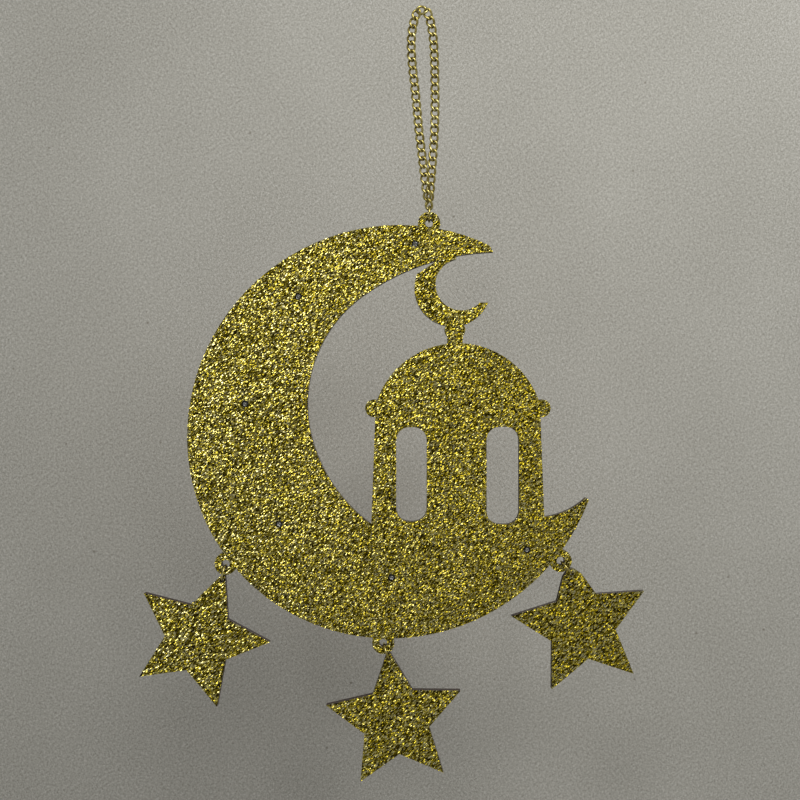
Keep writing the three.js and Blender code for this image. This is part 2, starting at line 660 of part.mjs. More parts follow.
// The moulded case: a bay for the cells, grooves for the cover, and a pocket for the switch
function caseSolid() {
  const c = caseLayout();
  const outer = centred(c.halfWidth, c.floorFront, c.coverBack, c.bottomZ, CASE_TOP_Z);
  const bayHalf = c.bayWidth / 2;
  const grooveHalf = bayHalf + TONGUE_WIDTH + CLEARANCE;
  const grooveFront = c.coverFront - CLEARANCE;
  const grooveBack = c.coverFront + TONGUE_THICKNESS + CLEARANCE;
  const pocketHalf = SWITCH_WIDTH / 2 + CLEARANCE;
  const pocketBack = c.coverBack - SWITCH_WALL;
  const slotHalf = (KNOB_SIZE + SWITCH_TRAVEL) / 2 + CLEARANCE;
  const knobHalf = KNOB_SIZE / 2 + CLEARANCE;
  const [slotBottom, slotTop] = [c.switchZ - knobHalf, c.switchZ + knobHalf];
  const pastBack = c.coverBack + CUT_PAST;
  const pastTop = CASE_TOP_Z + CUT_PAST;
  const pastFront = c.floorFront - CUT_PAST;
  const recessFront = c.coverBack - KNOB_RECESS;
  const wireBack = c.floorBack + 2 * WIRE_WAY_HALF_WIDTH;
  const cuts = [
    centred(bayHalf, c.floorBack, pastBack, c.bayBottomZ, c.bayTopZ),
    centred(grooveHalf, grooveFront, grooveBack, c.bayBottomZ, pastTop),
    centred(bayHalf, grooveFront, pastBack, c.bayBottomZ, pastTop),
    centred(pocketHalf, pastFront, pocketBack, c.pocketBottomZ, c.pocketTopZ),
    centred(slotHalf, pocketBack - CUT_PAST, pastBack, slotBottom, slotTop),
    centred(slotHalf + KNOB_DISH, recessFront, pastBack, slotBottom - KNOB_DISH, slotTop + KNOB_DISH),
    centred(WIRE_WAY_HALF_WIDTH, pastFront, wireBack, c.pocketTopZ - CUT_PAST, c.bayBottomZ + CUT_PAST),
  ];
  return cuts.reduce((solid, cut) => solid.subtract(cut), outer);
}

// The sliding cover: a plate with a tongue along each side and thumb grooves near its end
function coverSolid() {
  const c = caseLayout();
  const bottom = c.bayBottomZ + CLEARANCE;
  const tongueHalf = c.bayWidth / 2 + TONGUE_WIDTH;
  const tongueBack = c.coverFront + TONGUE_THICKNESS;
  let cover = joined([
    centred(c.bayWidth / 2 - CLEARANCE, c.coverFront, c.coverBack, bottom, CASE_TOP_Z),
    centred(tongueHalf, c.coverFront, tongueBack, bottom, CASE_TOP_Z),
  ]);
  const grooveFloor = c.coverBack - THUMB_GROOVE_DEPTH;
  const half = THUMB_GROOVE_WIDTH / 2;
  for (let index = 1; index <= THUMB_GROOVES; index += 1) {
    const z = CASE_TOP_Z - CASE_WALL - index * THUMB_GROOVE_PITCH;
    cover = cover.subtract(centred(
      THUMB_GROOVE_LENGTH / 2, grooveFloor, c.coverBack + CUT_PAST, z - half, z + half));
  }
  return cover;
}

// A cell turned about Z, its nub upwards, from its flat end at z = 0
function cellSolid() {
  const radius = CELL_DIAMETER / 2;
  const profile = [
    new THREE.Vector2(0, 0),
    new THREE.Vector2(radius - CELL_EDGE, 0),
    new THREE.Vector2(radius, CELL_EDGE),
    new THREE.Vector2(radius, CELL_BODY_LENGTH - CELL_EDGE),
    new THREE.Vector2(radius - CELL_EDGE, CELL_BODY_LENGTH),
    new THREE.Vector2(CELL_NUB_RADIUS, CELL_BODY_LENGTH),
    new THREE.Vector2(CELL_NUB_RADIUS, CELL_BODY_LENGTH + CELL_NUB_HEIGHT),
    new THREE.Vector2(0, CELL_BODY_LENGTH + CELL_NUB_HEIGHT),
  ];
  const geometry = new THREE.LatheGeometry(profile, 2 * stepsFor(radius));
  geometry.rotateX(Math.PI / 2);
  return toSolid(geometry);
}

// A conical coil with its wide end at z = 0
function springSolid() {
  const section = new THREE.Shape().absarc(0, 0, SPRING_WIRE / 2, 0, 2 * Math.PI);
  const path = new THREE.Curve();
  path.getPoint = (t) => {
    const angle = 2 * Math.PI * SPRING_TURNS * t;
    const radius = SPRING_BASE_RADIUS + (SPRING_TIP_RADIUS - SPRING_BASE_RADIUS) * t;
    const height = (SPRING_LENGTH - SPRING_WIRE) * t + SPRING_WIRE / 2;
    return new THREE.Vector3(radius * Math.cos(angle), radius * Math.sin(angle), height);
  };
  const options = { steps: SPRING_TURNS * SPRING_TURN_STEPS, extrudePath: path, curveSegments: 3 };
  return toSolid(new THREE.ExtrudeGeometry(section, options));
}

// The slider: a base behind the case's wall and a knob that stands in its slot, at the off end
function sliderSolid() {
  const { coverBack, switchZ } = caseLayout();
  const x = -SWITCH_TRAVEL / 2;
  const baseBack = coverBack - SWITCH_WALL - CLEARANCE;
  const baseFront = baseBack - SLIDER_BASE;
  const square = (half, y0, y1) => block(x - half, x + half, y0, y1, switchZ - half, switchZ + half);
  const knob = square(KNOB_SIZE / 2, baseFront, coverBack - CLEARANCE);
  return joined([square(KNOB_SIZE / 2 + SLIDER_LIP, baseFront, baseBack), knob]);
}

function addBatteryBox() {
  const c = caseLayout();
  const box = new THREE.Group();
  box.position.set(MOON_CENTRE_X + boxX, 0, MOON_CENTRE_Z);
  hung.add(box);
  const [tapeBottom, tapeTop] = [c.bayBottomZ + TAPE_MARGIN, CASE_TOP_Z - TAPE_MARGIN];
  const tape = centred(c.halfWidth - TAPE_MARGIN, backY, c.floorFront, tapeBottom, tapeTop);
  addPiece(box, 'mounting_tape', tape, materials.tape);
  addPiece(box, 'battery_case', caseSolid(), materials.plastic);
  addPiece(box, 'battery_cover', coverSolid(), materials.plastic);
  const switchBack = c.coverBack - SWITCH_WALL - 2 * CLEARANCE - SLIDER_BASE;
  const switchBody = centred(
    SWITCH_WIDTH / 2, switchBack - SWITCH_HEIGHT, switchBack,
    c.switchZ - SWITCH_LENGTH / 2, c.switchZ + SWITCH_LENGTH / 2);
  addPiece(box, 'switch_body', switchBody, materials.steel);
  addPiece(box, 'switch_slider', sliderSolid(), materials.knob);
  addCells(box, c);
}

// The cells stand end to end between two contacts, with a spring under the lower one's flat end
function addCells(box, c) {
  const half = c.bayWidth / 2 - 2 * CLEARANCE;
  const [front, back] = [c.cellY - CONTACT_HEIGHT / 2, c.cellY + CONTACT_HEIGHT / 2];
  const springFoot = c.bayBottomZ + CONTACT_THICKNESS;
  const lower = centred(half, front, back, c.bayBottomZ, springFoot);
  addPiece(box, 'lower_contact', lower, materials.steel);
  const upper = centred(half, front, back, c.bayTopZ - CONTACT_THICKNESS, c.bayTopZ);
  addPiece(box, 'upper_contact', upper, materials.steel);
  const spring = addPiece(box, 'contact_spring', springSolid(), materials.steel);
  spring.position.set(0, c.cellY, springFoot + CLEARANCE);
  ['lower_battery_cell', 'upper_battery_cell'].forEach((name, index) => {
    const cell = addPiece(box, name, cellSolid(), materials.cell);
    const foot = springFoot + 2 * CLEARANCE + SPRING_LENGTH;
    cell.position.set(0, c.cellY, foot + index * c.cellStep);
  });
}

// One chain link about the origin along Z: a round wire on an oval that is twisted about its length
function linkSolid(halfLength) {
  const [steps, sides] = [LINK_STEPS, LINK_SIDES];
  const halfWidth = (LINK_WIDTH - LINK_WIRE) / 2;
  const centreAt = (angle) => {
    const twist = (radians(LINK_TWIST_DEG) / 2) * Math.sin(angle);
    const across = halfWidth * Math.cos(angle);
    return new THREE.Vector3(
      across * Math.cos(twist), across * Math.sin(twist), halfLength * Math.sin(angle));
  };
  const positions = [];
  const indices = [];
  for (let step = 0; step < steps; step += 1) {
    const angle = (2 * Math.PI * step) / steps;
    const centre = centreAt(angle);
    const nudge = 1 / (100 * steps);
    const heading = centreAt(angle + nudge).sub(centreAt(angle - nudge)).normalize();
    const inward = centre.clone().negate().projectOnPlane(heading).normalize();
    const sideways = heading.clone().cross(inward);
    for (let side = 0; side < sides; side += 1) {
      const turn = (2 * Math.PI * side) / sides;
      const point = centre.clone()
        .addScaledVector(inward, (LINK_WIRE / 2) * Math.cos(turn))
        .addScaledVector(sideways, (LINK_WIRE / 2) * Math.sin(turn));
      positions.push(point.x, point.y, point.z);
      const here = step * sides;
      const ahead = ((step + 1) % steps) * sides;
      const other = (side + 1) % sides;
      indices.push(here + side, here + other, ahead + side);
      indices.push(here + other, ahead + other, ahead + side);
    }
  }
  const geometry = new THREE.BufferGeometry();
  geometry.setAttribute('position', new THREE.Float32BufferAttribute(positions, 3));
  geometry.setIndex(indices);
  return toSolid(geometry);
}

// The points where one strand's links meet, from the apex link down to the top ring
function strandJoints(side, route, halfLength) {
  const pitch = 2 * halfLength - LINK_WIRE - (LINK_GAP - LINK_MERGE) / 2;
  const apexReach = halfLength - (LINK_WIRE - LINK_MERGE) / 2;
  const joints = [new THREE.Vector3(side * apexReach, 0, LINK_WIDTH / 2)];
  TOP_LINK_SLOPES_DEG.forEach((slope) => {
    const [run, drop] = along(slope);
    const last = joints[joints.length - 1];
    joints.push(new THREE.Vector3(last.x + side * pitch * run, 0, last.z - pitch * drop));
  });
  const aside = side * strandAside;
  const ringTopZ = ringCentreZ + Math.sqrt(ringRadius ** 2 - aside ** 2);
  const ringJoint = new THREE.Vector3(
    MOON_CENTRE_X + topLug[0], aside, ringTopZ - (RING_WIRE + LINK_GAP) / 2);
  const through = route.map(([x, share, z]) => new THREE.Vector3(x, aside * share, z));
  const curve = new THREE.CatmullRomCurve3(
    [joints[joints.length - 1], ...through, ringJoint], false, 'centripetal');
  const count = LINKS_PER_NODE * NODES_PER_STRAND;
  for (let link = 1; link <= count; link += 1) {
    joints.push(curve.getPointAt(link / count));
  }
  return { joints, pitch: curve.getLength() / count };
}

// A link laid between two joints, its flat face to the front, moved towards a merged neighbour
function laidLink(halfLength, upper, lower, gapAbove, gapBelow, turnDeg) {
  const axis = upper.clone().sub(lower).normalize();
  const backward = new THREE.Vector3(0, 1, 0).projectOnPlane(axis).normalize();
  const across = backward.clone().cross(axis);
  const centre = upper.clone().add(lower).multiplyScalar(0.5)
    .addScaledVector(axis, (gapBelow - gapAbove) / -4);
  const placed = new THREE.Matrix4().makeBasis(across, backward, axis).setPosition(centre);
  placed.multiply(new THREE.Matrix4().makeRotationZ(radians(turnDeg)));
  return linkSolid(halfLength).transform(placed.toArray());
}

// The links share the route evenly, so their length follows from it by repeated trial
function addChain() {
  let halfLength = LINK_WIDTH / 2;
  let strands = [];
  for (let trial = 0; trial < LENGTH_TRIALS; trial += 1) {
    strands = [strandJoints(-1, LEFT_ROUTE, halfLength), strandJoints(1, RIGHT_ROUTE, halfLength)];
    const pitch = (strands[0].pitch + strands[1].pitch) / 2;
    halfLength = (pitch + LINK_WIRE + (LINK_GAP - LINK_MERGE) / 2) / 2;
  }
  const topCount = TOP_LINK_SLOPES_DEG.length;
  const [leftStart, rightStart] = strands.map(({ joints }) => joints[0]);
  const topLinks = [laidLink(halfLength, rightStart, leftStart, 0, 0, 0)];
  strands.forEach(({ joints }, index) => {
    const links = [];
    for (let link = 0; link + 1 < joints.length; link += 1) {
      const inStrand = link - topCount;
      const firstOfNode = inStrand >= 0 && inStrand % LINKS_PER_NODE === 0;
      const lastOfNode = inStrand >= 0 && (inStrand + 1) % LINKS_PER_NODE === 0;
      const gapAbove = firstOfNode ? LINK_GAP : -LINK_MERGE;
      const gapBelow = lastOfNode || link === topCount - 1 ? LINK_GAP : -LINK_MERGE;
      const fromEnd = joints.length - 1 - link;
      const turn = END_LINK_TURNS_DEG[END_LINK_TURNS_DEG.length - fromEnd] ?? 0;
      links.push(laidLink(halfLength, joints[link], joints[link + 1], gapAbove, gapBelow, turn));
    }
    topLinks.push(...links.slice(0, topCount));
    const side = index === 0 ? 'left' : 'right';
    for (let node = 0; node < NODES_PER_STRAND; node += 1) {
      const first = topCount + node * LINKS_PER_NODE;
      const solid = joined(links.slice(first, first + LINKS_PER_NODE));
      addPiece(light, `${side}_strand_links_${node + 1}`, solid, materials.brass);
    }
  });
  addPiece(light, 'chain_top_links', joined(topLinks), materials.brass);
  const ring = addPiece(light, 'top_lug_ring', ringSolid(), materials.brass);
  ring.position.set(MOON_CENTRE_X + topLug[0], 0, ringCentreZ);
}
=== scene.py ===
import json
import math

import bmesh
import bpy
from mathutils import Matrix, Vector


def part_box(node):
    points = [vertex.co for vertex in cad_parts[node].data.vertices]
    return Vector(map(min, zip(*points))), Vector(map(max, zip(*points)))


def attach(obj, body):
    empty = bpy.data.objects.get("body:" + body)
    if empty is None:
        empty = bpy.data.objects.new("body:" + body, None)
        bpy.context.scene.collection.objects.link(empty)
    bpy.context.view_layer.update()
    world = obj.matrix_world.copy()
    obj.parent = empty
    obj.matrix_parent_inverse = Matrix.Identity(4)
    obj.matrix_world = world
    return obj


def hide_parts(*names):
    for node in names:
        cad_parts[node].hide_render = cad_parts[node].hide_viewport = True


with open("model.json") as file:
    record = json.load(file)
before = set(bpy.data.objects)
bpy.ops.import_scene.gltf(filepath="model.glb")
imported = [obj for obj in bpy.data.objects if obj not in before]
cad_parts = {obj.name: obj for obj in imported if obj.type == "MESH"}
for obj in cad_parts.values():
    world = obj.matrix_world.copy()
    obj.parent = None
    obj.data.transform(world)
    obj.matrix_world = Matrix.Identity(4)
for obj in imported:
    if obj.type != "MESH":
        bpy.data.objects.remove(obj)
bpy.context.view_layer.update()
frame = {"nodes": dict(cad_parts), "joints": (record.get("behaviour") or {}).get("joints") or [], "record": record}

# Frame: panel, stars and box lean about X through the top ring's centre
MM = 0.001
joints = {joint["name"]: joint for joint in frame["joints"]}
panel_axis = Vector(joints["panel_swing"]["axis"])
RING_CENTRE = Vector(joints["ring_tilt"]["pos_m"])
LEAN = Matrix.Translation(RING_CENTRE) @ Matrix.Rotation(
    math.atan2(panel_axis.z, panel_axis.y), 4, "X") @ Matrix.Translation(-RING_CENTRE)

# Chain, in millimetres as in the part's source; a route holds X, share of the step aside, and Z
LINK_WIRE = 0.9
LINK_WIDTH = 4.5
LINK_TWIST_DEG = -90
LINK_SWELL = 0.37
LINK_GAP = 0.25
LINK_MERGE = 0.08
LENGTH_TRIALS = 20
LINKS_PER_NODE = 2
NODES_PER_STRAND = 11
TOP_LINK_SLOPES_DEG = [68, 76]
END_LINK_TURNS_DEG = [-15, -30, -45]
LEFT_ROUTE = [
    (-5.45, 0, -12), (-5.1, 0, -22), (-3.2, 0, -39.5), (-1.5, 0.2, -57), (0.7, 0.65, -75),
    (2.3, 1, -88)]
RIGHT_ROUTE = [
    (5.6, 0, -12), (6.2, 0, -24.5), (6.5, 0, -45), (6.1, 0.2, -60), (4.95, 0.65, -76),
    (4.1, 1, -88)]
LINK_STEPS = 40
LINK_SIDES = 12
HEADING_STEP = 0.001
SHOWN_LINK_WIRE = 1.2

# Jump rings, in millimetres; a split's angle is from straight down, towards the back
RING_WIRE = 0.8
SHOWN_RING_WIRE = 1.04
RING_CENTRE_FROM_LUG = 4.815
RING_SPLIT_DEG = 3.5
SPLIT_LOW_DEG = 52
SPLIT_HIGH_DEG = 128
RING_STEPS = 64
RING_SIDES = 14

# LEDs, in millimetres from the middle of board and sheet
FRONT_Y = -1.8
BACK_Y = 1.8
LED_RADIUS = 1.5
LED_PROUD = 0.7
LED_FLANGE_RADIUS = 2.15
LED_FLANGE_HEIGHT = 1.0
LED_FLANGE_EDGE = 0.12
LED_DOME_STEPS = 12
LED_LENS_STEPS = 40
LED_LEG_WIDTH = 0.45
LED_LEG_LENGTH = 1.9
LED_LEG_PITCH = 2.54
LED_LEG_CLEARANCE = 0.01
LED_LEG_TAPER = 0.2
LED_LEG_TIP_SHARE = 0.55
LED_COUNT = 6

# LED insides, in millimetres: radius, and depth behind the cup's rim
CUP_INSET = 0.15
CUP_PROFILE = [(0, 0.45), (0.3, 0.45), (0.62, 0), (0.8, 0), (0.8, 0.9), (0.45, 1.3)]
CUP_STEM_RADIUS = 0.3
CUP_STEPS = 28
DIE_PROFILE = [(0, 0.2), (0.2, 0.24), (0.2, 0.44), (0, 0.44)]
DIE_STEPS = 12

# Moulded nodes and the width of their rounded edges, in millimetres
SOFTENED = {"battery_case": 0.5, "battery_cover": 0.25, "switch_slider": 0.2, "switch_body": 0.15}
ROUND_SEGMENTS = 3
FLAT_BELOW_DEG = 1
ROUND_ABOVE_DEG = 35
SMOOTH_BELOW_DEG = 50


# Materials

def srgb(r, g, b):
    """A colour given in 0 to 255 steps, as the linear value a shader takes."""
    def linear(c):
        c /= 255
        return c / 12.92 if c <= 0.04045 else ((c + 0.055) / 1.055) ** 2.4
    return (linear(r), linear(g), linear(b), 1.0)


HALF = (0.5, 0.5, 0.5)
WHITE = (1, 1, 1, 1)

# Where a normal along an axis counts as a board's face or a cell's end
BOARD_FACE_ABOVE = 0.7
CELL_END_ABOVE = 0.5

# Metal and plastic: how far roughness drifts below its value, and how much finer fine noise is
GLOSS_DRIFT = 0.08
FINE_SCALE_RATIO = 9

# Wall: its texture's turn in radians, and its rare specks
WALL_TEXTURE_TURN = 0.61
SPECK_SCALE = 70.0
BARE_SHARE = 0.86

# Glitter: fleck sizes in millimetres at size 1, and tones along the level of a fleck, running from dark to near
# white as painted sparkle and shade
PANEL_FLECK_SIZE = 0.47
STAR_FLECK_SIZE = 0.56
COARSE_SLANT_DEG = 41
COARSE_FLECK = (1.7, 0.66)
COARSE_RANDOMNESS = 0.95
FINE_SLANT_DEG = 30
FINE_FLECK = (0.95, 0.5)
COARSE_SHARE = 0.86
COARSE_TILT = 1.5
FINE_TILT = 0.6
WANDER = 0.0003
WANDER_SCALE = 900.0
SEAM_SHADE = (0.4, 0.4, 0.4, 1)
SEAM_WIDTH = 0.08
GLITTER_ROUGHNESS = 0.24
GLITTER_SPARKLE_TONES = [
    (0.1, srgb(34, 27, 0)), (0.34, srgb(88, 75, 0)), (0.5, srgb(142, 125, 12)),
    (0.65, srgb(198, 180, 54)), (0.78, srgb(244, 230, 126)), (0.94, srgb(255, 248, 198))]


class Paint:
    """A material's nodes, added one at a time. An input takes a value or another node's output."""

    def __init__(self, name):
        self.material = bpy.data.materials.new(name)
        self.material.use_nodes = True
        self.tree = self.material.node_tree
        self.bsdf = self.tree.nodes["Principled BSDF"]
        self.output = self.tree.nodes["Material Output"]

    def put(self, socket, value):
        if isinstance(value, bpy.types.NodeSocket):
            self.tree.links.new(value, socket)
        else:
            socket.default_value = value

    def node(self, kind, inputs=None, **settings):
        node = self.tree.nodes.new("ShaderNode" + kind)
        for key, value in settings.items():
            setattr(node, key, value)
        for key, value in (inputs or {}).items():
            self.put(node.inputs[key], value)
        return node

    def add(self, kind, inputs=None, out=0, **settings):
        return self.node(kind, inputs, **settings).outputs[out]

    def maths(self, operation, a, b=0.0, clamp=False):
        return self.add("Math", {0: a, 1: b}, operation=operation, use_clamp=clamp)

    def vector(self, operation, a, b=(0, 0, 0), scale=None):
        inputs = {0: a, 1: b}
        if scale is not None:
            inputs["Scale"] = scale
        return self.add("VectorMath", inputs, operation=operation)

    def weighted(self, *parts):
        """The sum of textures, each times its share."""
        total = None
        for texture, share in parts:
            scaled = self.maths("MULTIPLY", texture, share)
            total = scaled if total is None else self.maths("ADD", total, scaled)
        return total

    def raised(self, base, texture, swing):
        """A base value that a texture from 0 to 1 raises by up to swing."""
        return self.maths("ADD", self.maths("MULTIPLY", texture, swing), base)

    def ramp(self, factor, stops):
        node = self.node("ValToRGB", {0: factor})
        elements = node.color_ramp.elements
        while len(elements) < len(stops):
            elements.new(0.5)
        for element, (place, colour) in zip(elements, stops):
            element.position = place
            element.color = colour
        return node.outputs[0]

    def mix(self, factor, a, b, blend="MIX"):
        return self.add("Mix", {"Factor": factor, "A": a, "B": b}, out="Result",
                        data_type="RGBA", blend_type=blend)

    def darkened(self, colour, shade):
        return self.mix(1.0, colour, shade, "MULTIPLY")

    def place(self):
        return self.add("TexCoord", out="Object")

    def mapped(self, vector, **inputs):
        return self.add("Mapping", {"Vector": vector, **inputs})

    def noise(self, scale, detail=3.0, roughness=0.5, vector=None, out=0):
        inputs = {"Vector": vector or self.place(), "Scale": scale}
        inputs.update({"Detail": detail, "Roughness": roughness})
        return self.add("TexNoise", inputs, out=out)

    def voronoi(self, vector, scale=1.0, randomness=1.0, out="Distance", **settings):
        inputs = {"Vector": vector, "Scale": scale, "Randomness": randomness}
        return self.add("TexVoronoi", inputs, out=out, **settings)

    def normal_part(self, axis):
        """How squarely the surface faces along an axis, from 0 to 1."""
        parts = self.node("SeparateXYZ", {0: self.add("NewGeometry", out="Normal")})
        return self.maths("ABSOLUTE", parts.outputs[axis])

    def shine(self, **values):
        for key, value in values.items():
            self.put(self.bsdf.inputs[key.replace("_", " ")], value)

    def bump(self, height, strength, distance):
        inputs = {"Height": height, "Strength": strength, "Distance": distance}
        self.shine(Normal=self.add("Bump", inputs))


def glitter_paint(name, size):
    """Slanting foil flecks in a clear binder, each with its own tilt and a tone from dark to near white that
    paints in its sparkle and shade.
    """
    p = Paint(name)
    place = p.place()
    wander = p.vector("SUBTRACT", p.noise(WANDER_SCALE, detail=2.0, vector=place, out="Color"), HALF)
    shifted = p.vector("ADD", place, p.vector("SCALE", wander, scale=WANDER * size))
    parts = p.node("SeparateXYZ", {0: shifted}).outputs
    x, z = parts["X"], parts["Z"]

    def flecks(slant_deg, length, width):
        """A place on the sheet, in flecks along and across their slant."""
        c, s = math.cos(math.radians(slant_deg)), math.sin(math.radians(slant_deg))
        along = p.maths("ADD", p.maths("MULTIPLY", x, c), p.maths("MULTIPLY", z, s))
        across = p.maths("SUBTRACT", p.maths("MULTIPLY", z, c), p.maths("MULTIPLY", x, s))
        return p.add("CombineXYZ", {
            "X": p.maths("MULTIPLY", along, 1 / MM / (length * size)),
            "Y": p.maths("MULTIPLY", across, 1 / MM / (width * size))})

    coarse = flecks(COARSE_SLANT_DEG, *COARSE_FLECK)
    fine = flecks(FINE_SLANT_DEG, *FINE_FLECK)
    cell = p.voronoi(coarse, randomness=COARSE_RANDOMNESS, out="Color", voronoi_dimensions="2D")
    edge = p.voronoi(coarse, randomness=COARSE_RANDOMNESS, voronoi_dimensions="2D",
                     feature="DISTANCE_TO_EDGE")
    small = p.voronoi(fine, out="Color", voronoi_dimensions="2D")
    cell_level = p.add("SeparateColor", {0: cell}, out="Red")
    small_level = p.add("SeparateColor", {0: small}, out="Red")
    # Painted sparkle and shade: each fleck's random level picks its colour, from dark to near white
    tone = p.ramp(p.weighted((cell_level, COARSE_SHARE), (small_level, 1 - COARSE_SHARE)),
                  GLITTER_SPARKLE_TONES)
    seam = p.ramp(edge, [(0.0, SEAM_SHADE), (SEAM_WIDTH, WHITE)])
    tilt = p.vector("SCALE", p.vector("SUBTRACT", cell, HALF), scale=COARSE_TILT)
    small_tilt = p.vector("SCALE", p.vector("SUBTRACT", small, HALF), scale=FINE_TILT)
    normal = p.add("NewGeometry", out="Normal")
    leaning = p.vector("NORMALIZE", p.vector("ADD", normal, p.vector("ADD", tilt, small_tilt)))
    p.shine(Base_Color=p.darkened(tone, seam), Metallic=1.0, Roughness=GLITTER_ROUGHNESS,
            Coat_Weight=0.08, Coat_Roughness=0.2, Normal=leaning, Coat_Normal=leaning)
    return p.material


def board_paint():
    """Pressed board: pale fibrous faces, and edges that the laser has burnt."""
    p = Paint("board")
    place = p.place()
    fibre = p.noise(1.0, detail=6.0, roughness=0.62, vector=p.mapped(place, Scale=(260.0, 900.0, 60.0)))
    speck = p.noise(1400.0, detail=2.0, roughness=0.6)
    face = p.ramp(p.weighted((fibre, 0.6), (speck, 0.4)), [
        (0.3, srgb(128, 92, 58)), (0.5, srgb(164, 126, 84)), (0.7, srgb(190, 154, 110))])
    lines = p.noise(1.0, vector=p.mapped(place, Scale=(900.0, 120.0, 900.0)))
    burnt = p.ramp(lines, [
        (0.25, srgb(24, 16, 11)), (0.6, srgb(52, 35, 22)), (0.8, srgb(84, 58, 38))])
    on_face = p.maths("GREATER_THAN", p.normal_part("Y"), BOARD_FACE_ABOVE)
    p.shine(Base_Color=p.mix(on_face, burnt, face), Roughness=p.raised(0.7, speck, 0.15))
    p.bump(p.maths("ADD", fibre, speck), strength=0.35, distance=0.00012)
    return p.material


def metal_paint(name, dark, mid, light, roughness, scale, crevice=None):
    """Worn plated metal whose tone and gloss drift. Painted shade darkens crevices where surfaces face each other
    within that distance.
    """
    p = Paint(name)
    drift = p.noise(scale, detail=4.0, roughness=0.6)
    fine = p.noise(scale * FINE_SCALE_RATIO, detail=2.0)
    tone = p.ramp(p.weighted((drift, 0.7), (fine, 0.3)), [(0.3, dark), (0.5, mid), (0.72, light)])
    if crevice:
        # Painted shade: ambient occlusion darkens the colour in crevices
        open_share = p.add("AmbientOcclusion", {"Distance": crevice}, out="AO", samples=8)
        crevice_shade = p.ramp(open_share, [(0.3, (0.06, 0.045, 0.015, 1)), (0.8, WHITE)])
        tone = p.darkened(tone, crevice_shade)
    p.shine(Base_Color=tone, Metallic=0.95, Roughness=p.raised(roughness - GLOSS_DRIFT, fine, 0.22))
    p.bump(fine, strength=0.25, distance=0.00004)
    return p.material


def plastic_paint(name, low, high, roughness, grain, depth):
    """Moulded plastic with a fine spark-eroded grain."""
    p = Paint(name)
    drift = p.noise(45.0)
    texture = p.noise(grain, detail=2.0, roughness=0.55)
    tone = p.ramp(p.weighted((drift, 0.5), (texture, 0.5)), [(0.35, low), (0.65, high)])
    p.shine(Base_Color=tone, Roughness=p.raised(roughness - GLOSS_DRIFT, texture, 0.16))
    p.bump(texture, strength=0.5, distance=depth)
    return p.material


def foam_paint():
    """Pale foam tape with fine pores."""
    p = Paint("foam_tape")
    pores = p.voronoi(p.place(), scale=1700.0)
    tone = p.ramp(pores, [(0.1, srgb(196, 192, 182)), (0.5, srgb(232, 229, 221))])
    p.shine(Base_Color=tone, Roughness=0.9)
    p.bump(pores, strength=0.6, distance=0.00015)
    return p.material


def cell_paint():
    """A plain satin sleeve, and bare steel at both ends."""
    p = Paint("cell_sleeve")
    drift = p.noise(160.0)
    sleeve = p.ramp(drift, [(0.35, srgb(38, 62, 52)), (0.65, srgb(54, 82, 70))])
    steel = p.ramp(p.noise(900.0, detail=2.0), [(0.3, srgb(150, 150, 146)), (0.7, srgb(196, 196, 190))])
    end = p.maths("GREATER_THAN", p.normal_part("Z"), CELL_END_ABOVE)
    p.shine(Base_Color=p.mix(end, sleeve, steel), Metallic=p.raised(0.3, end, 0.6),
            Roughness=p.raised(0.28, drift, 0.1))
    return p.material


def lens_paint():
    """Clear resin, with painted shade that darkens it towards its rim."""
    p = Paint("led_lens")
    haze = p.noise(1500.0, detail=2.0)
    from_middle = p.vector("SUBTRACT", p.add("TexCoord", out="Generated"), HALF)
    parts = p.node("SeparateXYZ", {0: from_middle}).outputs
    squares = p.maths("ADD", p.maths("POWER", parts["X"], 2.0), p.maths("POWER", parts["Z"], 2.0))
    # Painted shade: the lens's colour darkens to near black towards its rim
    rim = p.ramp(p.maths("SQRT", squares), [(0.2, WHITE), (0.3, (0.06, 0.06, 0.065, 1))])
    clear = p.ramp(haze, [(0.3, srgb(232, 234, 232)), (0.7, srgb(250, 252, 252))])
    p.shine(Base_Color=p.darkened(clear, rim), Roughness=p.raised(0.06, haze, 0.08),
            Transmission_Weight=0.92, IOR=1.5)
    return p.material


def die_paint():
    """The yellow phosphor over the chip."""
    p = Paint("led_die")
    tone = p.ramp(p.noise(3000.0, detail=2.0), [(0.3, srgb(150, 142, 60)), (0.7, srgb(196, 186, 96))])
    p.shine(Base_Color=tone, Roughness=0.5)
    return p.material


